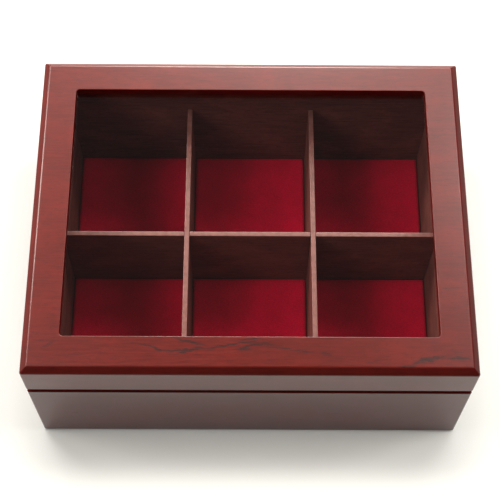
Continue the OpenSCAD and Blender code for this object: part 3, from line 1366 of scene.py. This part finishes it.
@dataclass
class WindowLid:
    """The lid: four rim boards, the top sheet with its window, the beads and the glass."""

    sizes: BoxSizes
    finishes: Finishes
    shoulder_r: float = 1.4 * MM
    brow_r: float = 2.0 * MM
    sill_r: float = 0.4 * MM
    least_r: float = 0.25 * MM
    bead_r: float = 2.0 * MM
    ring_steps: int = 6
    glass_ease_mm: float = 0.3

    def build(self) -> None:
        """Builds every piece of the lid except its hinge leaves."""
        self.build_rim()
        self.build_top()
        self.build_beads()
        pane = soften(slab("window_glass", *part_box("glass_pane")), self.glass_ease_mm, steps=2)
        stand_for(dress(pane, self.finishes.once(FloatGlass())), "glass_pane")

    def build_rim(self) -> None:
        """Builds the four boards under the top sheet."""
        s = self.sizes
        low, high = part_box("lid_front")
        height = high.z - low.z
        corners = [(0, 0, s.lid_edge_r), (0, height, 0), (s.wall_t, height, 0)]
        section = round_corners([*corners, (s.wall_t, 0, s.inner_r)])
        base, size = Vector((0, s.middle_y, low.z)), (s.width, s.depth)
        for side in Side:
            node = f"lid_{side.word}"
            board = sweep_side(f"{node}_board", section, side, size, s.corner_r, base)
            if side is Side.BACK:
                HingeRoom().cut(board, up=True)
            soften(board)
            dress_board(board, side, self.finishes, self.finishes.wood(side.grain))
            stand_for(board, node)

    def ring(self, centre: Vector, half: Point2, radius: float) -> list[Vector]:
        """Draws a rectangle with round corners.

        Args:
            centre: Middle of the rectangle, at its height.
            half: Half its width and depth.
            radius: Radius of its corners.

        Returns:
            Its points, anticlockwise from the right front corner.
        """
        points = []
        for k, (sx, sy) in enumerate(((1, -1), (1, 1), (-1, 1), (-1, -1))):
            for step in range(self.ring_steps + 1):
                angle = math.radians(90 * (k - 1) + 90 * step / self.ring_steps)
                x = sx * (half[0] - radius) + radius * math.cos(angle)
                y = sy * (half[1] - radius) + radius * math.sin(angle)
                points.append(centre + Vector((x, y, 0)))
        return points

    def build_top(self) -> None:
        """Builds the top sheet: rings round its outside, then rings round its window."""
        s = self.sizes
        low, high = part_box("lid_top")
        thick = high.z - low.z
        # A point well inside the sheet gives the last rounding its direction, and is left out
        far = (4 * s.chamfer_w, thick, 0)
        chamfer = [(0, thick - s.chamfer_h, self.shoulder_r), (s.chamfer_w, thick, self.brow_r)]
        outside = round_corners([(0, 0, 0), *chamfer, far], closed=False)[:-1]
        opening = round_corners([far, (0, thick, self.sill_r), (0, 0, 0)], closed=False)[1:]
        rings = []
        for inset, height in outside:
            centre = Vector((0, s.middle_y, low.z + height))
            half = (s.width / 2 - inset, s.depth / 2 - inset)
            rings.append(self.ring(centre, half, max(s.corner_r - inset, self.least_r)))
        window_y = s.middle_y + (s.rail_front - s.rail_back) / 2
        wide, deep = s.width / 2 - s.rail_side, (s.depth - s.rail_front - s.rail_back) / 2
        for outset, height in opening:
            centre = Vector((0, window_y, low.z + height))
            rings.append(self.ring(centre, (wide + outset, deep + outset), s.window_r + outset))
        faces = grid_faces(len(rings), len(rings[0]), round_rows=True, round_columns=True)
        vertices = [point for ring in rings for point in ring]
        sheet = soften(new_piece("lid_top_sheet", vertices, faces))
        stand_for(dress(sheet, self.finishes.lid_sheet()), "lid_top")

    def build_beads(self) -> None:
        """Builds the four strips that hold the pane up."""
        s = self.sizes
        low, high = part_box("bead_front")
        thick, height = high.y - low.y, high.z - low.z
        corners = [(0, 0, 0), (0, height, 0), (thick, height, 0), (thick, 0, self.bead_r)]
        section = round_corners(corners)
        base, size = Vector((0, s.middle_y, low.z)), (s.inner_w, s.inner_d)
        for side in Side:
            node = f"bead_{side.word}"
            bead = soften(sweep_side(f"{node}_strip", section, side, size, 0.0, base))
            stand_for(dress(bead, self.finishes.inside(side.grain)), node)


@dataclass
class Hinges:
    """Two brass stop hinges: leaves with their heels, headed pins and slotted screws."""

    finishes: Finishes
    room: HingeRoom = HingeRoom()
    ease_mm: float = 0.12
    flat_deg: float = 0.5
    pin_r: float = 1.0 * MM
    head_r: float = 1.5 * MM
    head_h: float = 0.7 * MM
    dome_r: float = 0.35 * MM
    under_head_r: float = 0.15 * MM
    screw_r: float = 1.75 * MM
    screw_lip_w: float = 0.1 * MM
    screw_lip_h: float = 0.08 * MM
    shank_r: float = 0.85 * MM
    root_r: float = 0.68 * MM
    tip_r: float = 0.12 * MM
    screw_l: float = 8.0 * MM
    tip_l: float = 1.5 * MM
    threads: int = 9
    slot_w: float = 0.5 * MM
    slot_h: float = 0.4 * MM
    screw_gap: float = 15.0 * MM
    screw_in: float = 5.6 * MM
    slot_seed: int = 4

    def build(self) -> None:
        """Builds the leaves, the pins and both sets of screws."""
        brass = self.finishes.once(PolishedBrass())
        for word in ("left", "right"):
            for part in ("base_leaf", "lid_leaf"):
                node = f"hinge_{word}_{part}"
                leaf = soften(self.copy_of(node), self.ease_mm, steps=2)
                stand_for(dress(leaf, brass), node)
            self.pin(f"hinge_{word}_pin", brass)
        for up in (False, True):
            self.screws(up, brass)

    def copy_of(self, node: str) -> Piece:
        """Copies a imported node's mesh into a piece of its own.

        Args:
            node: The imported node.

        Returns:
            The copy, with its flat faces joined.
        """
        mesh = frame["nodes"][node].data.copy()
        clean_mesh(mesh, self.flat_deg)
        return place_object(f"{node}_plate", mesh)

    def pin(self, node: str, brass: Material) -> None:
        """Turns one pin, with a domed head at each end.

        Args:
            node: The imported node.
            brass: The pins' material.
        """
        low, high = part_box(node)
        half = (high.x - low.x) / 2
        shoulder = half - self.head_h
        head = [(self.head_r, half, self.dome_r), (self.head_r, shoulder, self.under_head_r)]
        dome = round_corners([(0, half, 0), *head, (self.pin_r, shoulder, 0)], closed=False)
        pin = lathe(f"{node}_rod", dome + [(r, -z) for r, z in reversed(dome)])
        lying = Matrix.Rotation(math.pi / 2, 4, "Y")
        pin.data.transform(Matrix.Translation((low + high) / 2) @ lying)
        stand_for(dress(soften(pin), brass), node)

    def one_screw(self, name: str) -> Piece:
        """Makes a countersunk screw that points up.

        Args:
            name: Name of the piece.

        Returns:
            The screw, with its slotted face at zero height.
        """
        neck, shank_end = self.room.leaf_t, self.screw_l - self.tip_l
        profile = [(0, 0), (self.screw_r - self.screw_lip_w, 0)]
        profile += [(self.screw_r, self.screw_lip_h), (self.shank_r, neck)]
        pitch = (shank_end - neck) / self.threads
        for k in range(self.threads):
            root = neck + pitch * (k + 0.5)
            # The crest starts just short of half a pitch before the root
            profile += [(self.shank_r, root - 0.45 * pitch), (self.root_r, root)]
        profile += [(self.shank_r, shank_end), (self.tip_r, self.screw_l), (0, self.screw_l)]
        screw = lathe(name, profile, around=32)
        corner = Vector((self.screw_r, self.slot_w / 2, self.slot_h))
        subtract(screw, slab("slot", -corner, corner))
        return screw

    def screws(self, up: bool, brass: Material) -> None:
        """Sets the four screws of the lid or of the base.

        Args:
            up: Whether they are driven up into the lid.
            brass: The screws' material.
        """
        node = "lid_hinge_screws" if up else "base_hinge_screws"
        left, right = middle_of("hinge_left_pin"), middle_of("hinge_right_pin")
        screw = self.one_screw(f"{node}_set")
        if not up:
            screw.data.transform(Matrix.Rotation(math.pi, 4, "X"))
        start = left - Vector((self.screw_gap / 2, self.screw_in, 0))
        start.z += self.room.leaf_sink if up else -self.room.leaf_sink
        gaps = {"Screw gap": self.screw_gap, "Hinge gap": right.x - left.x}
        grow(screw, screw_rows(brass, self.slot_seed + up), {"First screw": start, **gaps})
        stand_for(soften(screw), node)


def screw_rows(brass: Material, seed: int, slot_turn: float = 0.9) -> Tree:
    """Builds the Geometry Nodes tree that sets one screw at each hole of two leaves.

    Args:
        brass: The screws' material.
        seed: Seed of the turns that the slots were left at.
        slot_turn: Largest turn of a slot either way, in radians.

    Returns:
        A tree with the inputs First screw, Screw gap and Hinge gap.
    """
    inputs = {"Screw": "Geometry", "First screw": "Vector", "Screw gap": "Float", "Hinge gap": "Float"}
    tree, given = new_tree("Screw rows", inputs, "Screws")
    lines = []
    for name, more in (("Screw gap", {}), ("Hinge gap", {"Start Location": given["First screw"]})):
        step = add_node(tree, "ShaderNodeCombineXYZ", {"X": given[name]})
        ends = {"Count": 2, "Offset": step, **more}
        lines.append(add_node(tree, "GeometryNodeMeshLine", ends, mode="OFFSET"))
    rows = {"Points": lines[1], "Instance": lines[0]}
    points = add_node(tree, "GeometryNodeInstanceOnPoints", rows)
    holes = add_node(tree, "GeometryNodeRealizeInstances", {0: points})
    limits = {"Min": (0, 0, -slot_turn), "Max": (0, 0, slot_turn), "Seed": seed}
    turns = add_node(tree, "FunctionNodeRandomValue", limits, data_type="FLOAT_VECTOR")
    driven = {"Points": holes, "Instance": given["Screw"], "Rotation": turns}
    return end_tree(tree, add_node(tree, "GeometryNodeInstanceOnPoints", driven), brass)


@dataclass
class FeltFeet:
    """Four felt discs under the corners."""

    finishes: Finishes
    ease: float = 0.25 * MM
    fray: float = 0.12 * MM
    tuft: float = 0.9 * MM

    def build(self) -> None:
        tree = frayed_rim(self.finishes.once(PressedFelt()))
        places = [(row, column) for row in Row for column in (Column.LEFT, Column.RIGHT)]
        for number, (row, column) in enumerate(places):
            node = f"foot_{row.name}_{column.name}".lower()
            low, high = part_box(node)
            diameter, height = high.x - low.x, high.z - low.z
            radius = diameter / 2 - self.fray
            edges = [(radius, 0, self.ease), (radius, height, self.ease)]
            rim = round_corners([(0, 0, 0), *edges, (0, height, 0)], steps=4, closed=False)
            foot = lathe(f"{node}_disc", rim, around=96)
            grow(foot, tree, {"Fray": self.fray, "Tuft": self.tuft, "Seed": number})
            middle = (low + high) / 2
            foot.data.transform(Matrix.Translation((middle.x, middle.y, low.z)))
            smooth(foot)
            stand_for(foot, node)


def frayed_rim(felt: Material) -> Tree:
    """Builds the Geometry Nodes tree that roughens a felt disc sideways.

    Args:
        felt: The discs' material.

    Returns:
        A tree with the inputs Fray, Tuft and Seed.
    """
    inputs = {"Disc": "Geometry", "Fray": "Float", "Tuft": "Float", "Seed": "Float"}
    tree, given = new_tree("Frayed rim", inputs, "Foot")
    fineness = add_node(tree, "ShaderNodeMath", {0: 1.0, 1: given["Tuft"]}, operation="DIVIDE")
    place = add_node(tree, "GeometryNodeInputPosition")
    values = {"Vector": place, "W": given["Seed"], "Scale": fineness, "Detail": 3.0}
    wool = add_node(tree, "ShaderNodeTexNoise", values, noise_dimensions="4D")
    signed = add_node(tree, "ShaderNodeMath", {0: wool, 1: 0.5}, operation="SUBTRACT")
    reach = add_node(tree, "ShaderNodeMath", {0: signed, 1: given["Fray"]}, operation="MULTIPLY")
    # Twice the normal, because the noise only reaches half the fray either way
    normal = {0: add_node(tree, "GeometryNodeInputNormal"), 1: (2, 2, 0)}
    sideways = add_node(tree, "ShaderNodeVectorMath", normal, operation="MULTIPLY")
    scaled = {0: sideways, "Scale": reach}
    offset = add_node(tree, "ShaderNodeVectorMath", scaled, operation="SCALE")
    moved = add_node(tree, "GeometryNodeSetPosition", {"Geometry": given["Disc"], "Offset": offset})
    return end_tree(tree, moved, felt)


# ------------------------------------------------------------------ studio


@dataclass(frozen=True)
class Softbox:
    """One square softbox, hung on a sphere about the box and turned to face it.

    Its glow is its radiance, so a softbox can be made larger or smaller at the same brightness.
    """

    name: str
    turn_deg: float
    rise_deg: float
    reach: float
    size: float
    glow: float
    tint: str = "fffdf5"
    centre: Corner = (0.0, 0.0, 0.09)
    aim: Corner = (0.0, 0.0, 0.05)

    def hang(self, lit: bpy.types.Collection) -> None:
        """Hangs the lamp, unseen by the camera.

        Args:
            lit: What the lamp may light, as light linking takes it.
        """
        lamp = bpy.data.lights.new(self.name, "AREA")
        lamp.shape = "SQUARE"
        lamp.size = self.size
        lamp.energy = self.glow * math.pi * self.size**2
        lamp.color = linear(self.tint)[:3]
        holder = place_object(self.name, lamp)
        turn, rise = math.radians(self.turn_deg), math.radians(self.rise_deg)
        level = math.cos(rise)
        ray = Vector((math.sin(turn) * level, math.cos(turn) * level, math.sin(rise)))
        place = Vector(self.centre) + self.reach * ray
        facing = (Vector(self.aim) - place).to_track_quat("-Z", "Y").to_matrix().to_4x4()
        holder.matrix_world = Matrix.Translation(place) @ facing
        holder.visible_camera = False
        holder.light_linking.receiver_collection = lit


@dataclass
class Studio:
    """White floor, soft lamps, pale surroundings and the camera.

    Flags keep one set of lamps off the floor, and the other set off the box.
    """

    finishes: Finishes
    camera_place: Corner = (-2.514 * MM, -307.712 * MM, 689.694 * MM)
    yaw_deg: float = -0.4835
    pitch_deg: float = 64.7
    roll_deg: float = 0.706
    lens_mm: float = 91.44
    sensor_mm: float = 36.0
    nearest: float = 0.01
    floor_size: float = 2.4
    air: float = 0.1
    backdrop: str = "e9e8e5"
    box_lamps: tuple[Softbox, ...] = (
        Softbox("Behind", 0, 30, 1.3, 0.4, 51.0),
        Softbox("Over the back", 0, 42, 1.3, 0.4, 7.6),
        Softbox("Over the back, right of middle", 14, 38, 0.6, 0.16, 7.4),
        Softbox("Over the back, left", -40, 42, 1.3, 0.4, 5.4),
        Softbox("Back left", -60, 35, 0.7, 0.2, 35.0),
        Softbox("Back right", 44, 50, 0.8, 0.2, 17.2),
        Softbox("Right top", 90, 55, 0.6, 0.2, 4.9),
        Softbox("Left", -110, 48, 1.3, 0.5, 8.1),
        Softbox("Left top", -90, 62, 1.3, 0.4, 7.0),
    )
    floor_lamps: tuple[Softbox, ...] = (
        Softbox("Floor, back", 0, 75, 1.3, 0.3, 9.5),
        Softbox("Floor, back and lower", 0, 62, 1.3, 0.3, 11.5),
        Softbox("Floor, behind", 0, 45, 1.3, 0.4, 2.0),
        Softbox("Floor, back left", -50, 70, 1.3, 0.3, 23.5),
        Softbox("Floor, back right", 50, 70, 1.3, 0.3, 17.0),
        Softbox("Floor, left", -90, 50, 1.3, 0.4, 9.3),
        Softbox("Floor, right", 90, 50, 1.3, 0.4, 14.6),
        Softbox("Floor, front", 180, 35, 1.3, 0.6, 2.6),
    )

    def build(self) -> None:
        """Lays the floor, hangs the lamps and places the camera."""
        floor = self.build_floor()
        self.build_air()
        floor_only = self.flags("Lights the floor only", floor, "INCLUDE")
        all_but_floor = self.flags("Lights all but the floor", floor, "EXCLUDE")
        for softboxes, lit in ((self.box_lamps, all_but_floor), (self.floor_lamps, floor_only)):
            for softbox in softboxes:
                softbox.hang(lit)
        self.build_camera()
        bpy.context.scene.view_settings.view_transform = "Standard"

    def flags(self, name: str, floor: Piece, state: str) -> bpy.types.Collection:
        """Makes the light-linking list that stands for a set of flags round the lamps.

        Args:
            name: Name of the list.
            floor: The studio floor.
            state: INCLUDE to light nothing but the floor, or EXCLUDE to light all but it.

        Returns:
            The collection that lamps take as their receivers.
        """
        lit = bpy.data.collections.new(name)
        lit.objects.link(floor)
        lit.collection_objects[0].light_linking.link_state = state
        return lit

    def build_floor(self) -> Piece:
        """Lays the floor that the box stands on.

        Returns:
            The floor.
        """
        half = self.floor_size / 2
        corners = [(-half, -half, 0), (half, -half, 0), (half, half, 0), (-half, half, 0)]
        mesh = bpy.data.meshes.new("studio_floor")
        mesh.from_pydata(corners, [], [(0, 1, 2, 3)])
        floor = place_object("studio_floor", mesh)
        dress(floor, self.finishes.once(StudioPaper()))
        return floor

    def build_air(self) -> None:
        """Fills the room with even light, and shows a pale backdrop behind the box."""
        world = bpy.data.worlds.new("Pale studio")
        bpy.context.scene.world = world
        world.use_nodes = True
        tree = world.node_tree
        tree.nodes.clear()
        seen = add_node(tree, "ShaderNodeLightPath").outputs["Is Camera Ray"]
        room = add_node(tree, "ShaderNodeBackground", {"Strength": self.air})
        pale = {"Color": linear(self.backdrop), "Strength": 1.0}
        behind = add_node(tree, "ShaderNodeBackground", pale)
        both = add_node(tree, "ShaderNodeMixShader", {0: seen, 1: room, 2: behind})
        add_node(tree, "ShaderNodeOutputWorld", {0: both})

    def build_camera(self) -> None:
        """Places the camera at the photograph's angle."""
        data = bpy.data.cameras.new("Camera")
        data.lens = self.lens_mm
        data.sensor_width = self.sensor_mm
        data.clip_start = self.nearest
        camera = place_object("Camera", data)
        yaw = Matrix.Rotation(math.radians(self.yaw_deg), 4, "Z")
        tilt = Matrix.Rotation(math.radians(90 - self.pitch_deg), 4, "X")
        roll = Matrix.Rotation(math.radians(self.roll_deg), 4, "Z")
        camera.matrix_world = Matrix.Translation(self.camera_place) @ yaw @ tilt @ roll
        bpy.context.scene.camera = camera


# ------------------------------------------------------------------ whole box


def main() -> None:
    """Builds the studio, then the box sub-assembly by sub-assembly."""
    logging.basicConfig(level=logging.INFO, format="%(name)s: %(message)s")
    sizes = BoxSizes()
    finishes = Finishes()
    Studio(finishes).build()
    BaseCase(sizes, finishes).build()
    Dividers(sizes, finishes).build()
    FloorPads(finishes).build()
    WindowLid(sizes, finishes).build()
    Hinges(finishes).build()
    FeltFeet(finishes).build()
    bpy.context.view_layer.update()


if __name__ == "__main__":
    main()
